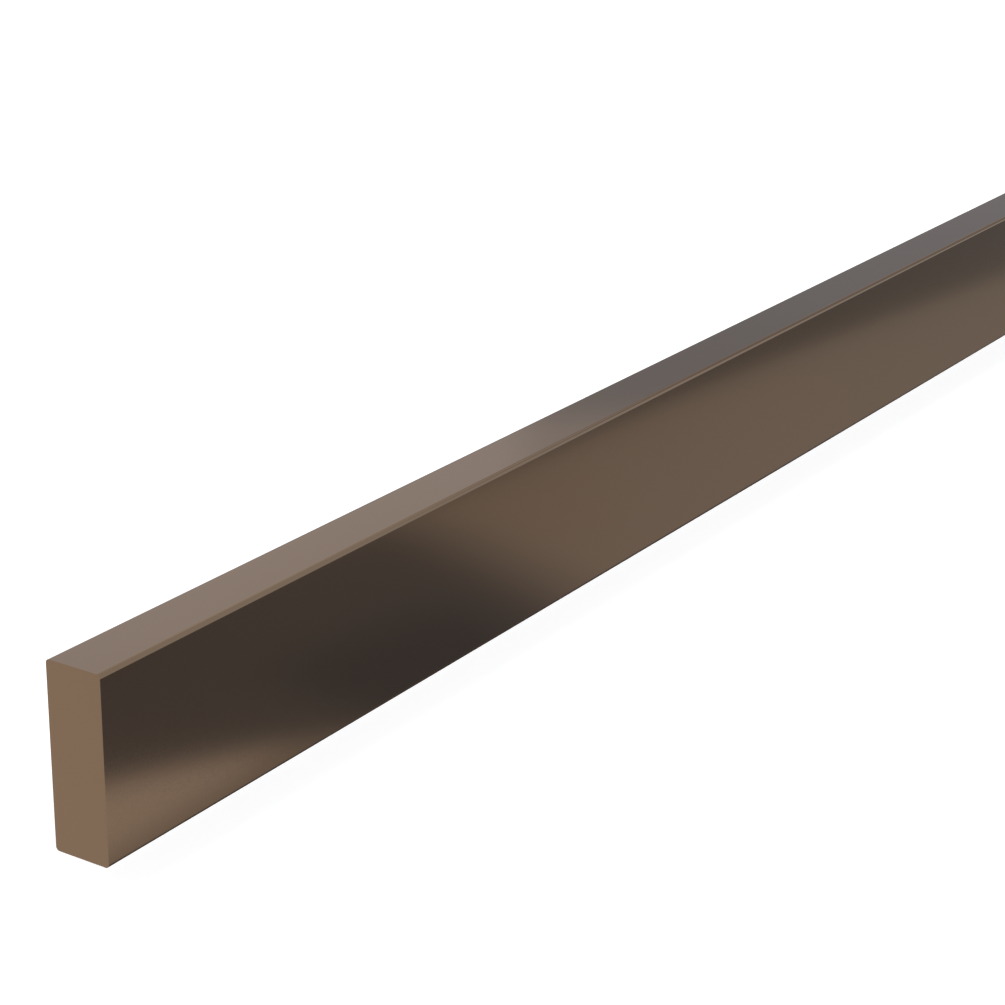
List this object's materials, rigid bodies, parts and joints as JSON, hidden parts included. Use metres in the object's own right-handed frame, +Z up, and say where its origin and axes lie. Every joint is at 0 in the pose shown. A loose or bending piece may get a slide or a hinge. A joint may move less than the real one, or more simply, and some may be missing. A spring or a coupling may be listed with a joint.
{
  "type": "automatic door bottom",
  "caption": "Surface-mounted drop-down door sweep: a plain bronze bar housing whose rubber seal is pushed down by a plunger button, push rod and leaf springs.",
  "frame": {"origin": "centre of the housing's rear face, which lies on the door's face", "axes": "+X along the housing towards the hinge side (the plunger button), +Y out of the rear face into the door, +Z up"},
  "size_m": [0.9219, 0.0127, 0.0382],
  "materials": {
    "bronze_finish": "satin",
    "mill_aluminium": "satin",
    "black_rubber": "matte",
    "white_nylon": "satin",
    "black_nylon": "satin",
    "zinc_plated_steel": "satin",
    "bright_steel": "polished",
    "spring_steel": "satin",
    "brass": "satin"
  },
  "bodies": {
    "housing": {"front_cover": "bronze_finish", "base_channel": "bronze_finish", "lock_end_cap": "bronze_finish", "hinge_end_cap": "bronze_finish", "anchor_block_1": "black_nylon", "anchor_block_2": "black_nylon", "anchor_pins": "bright_steel", "anchor_screws": "zinc_plated_steel", "leaf_spring_1": "spring_steel", "leaf_spring_2": "spring_steel"},
    "push_rod": {"push_rod": "zinc_plated_steel", "slider_block_1": "black_nylon", "slider_block_2": "black_nylon", "slider_pins": "bright_steel", "slider_rivets": "bright_steel", "thrust_block": "brass", "thrust_rivet": "bright_steel"},
    "plunger_button": {"plunger_button": "white_nylon"},
    "adjusting_screw": {"adjusting_screw": "zinc_plated_steel"},
    "drop_bar": {"drop_bar": "mill_aluminium", "seal_insert": "black_rubber", "lock_end_glide": "white_nylon", "hinge_end_glide": "white_nylon", "saddle_1": "black_nylon", "saddle_2": "black_nylon", "saddle_pins": "bright_steel", "saddle_rivets": "bright_steel"}
  },
  "joints": [
    {"name": "plunger_push", "type": "slide", "parent": "housing", "child": "push_rod", "axis": [-1, 0, 0], "range_m": [0, 0.0045], "stiffness_N_per_m": 3000, "springref_m": -0.005},
    {"name": "drop", "type": "slide", "parent": "housing", "child": "drop_bar", "axis": [0, 0, -1], "range_m": [0, 0.01], "deforming": ["leaf_spring_1", "leaf_spring_2"]},
    {"name": "adjust_travel", "type": "slide", "parent": "push_rod", "child": "plunger_button", "axis": [1, 0, 0], "range_m": [-0.0021, 0.0021]},
    {"name": "adjust_turn", "type": "hinge", "parent": "plunger_button", "child": "adjusting_screw", "pos_m": [0.447, -0.00565, 0.00265], "axis": [1, 0, 0], "range_deg": [-1080, 1080]}
  ],
  "couplings": [
    {"joint": "drop", "follows": "plunger_push", "ratio": 2.2222},
    {"joint": "adjust_turn", "follows": "adjust_travel", "rad_per_m": 8975.9}
  ]
}
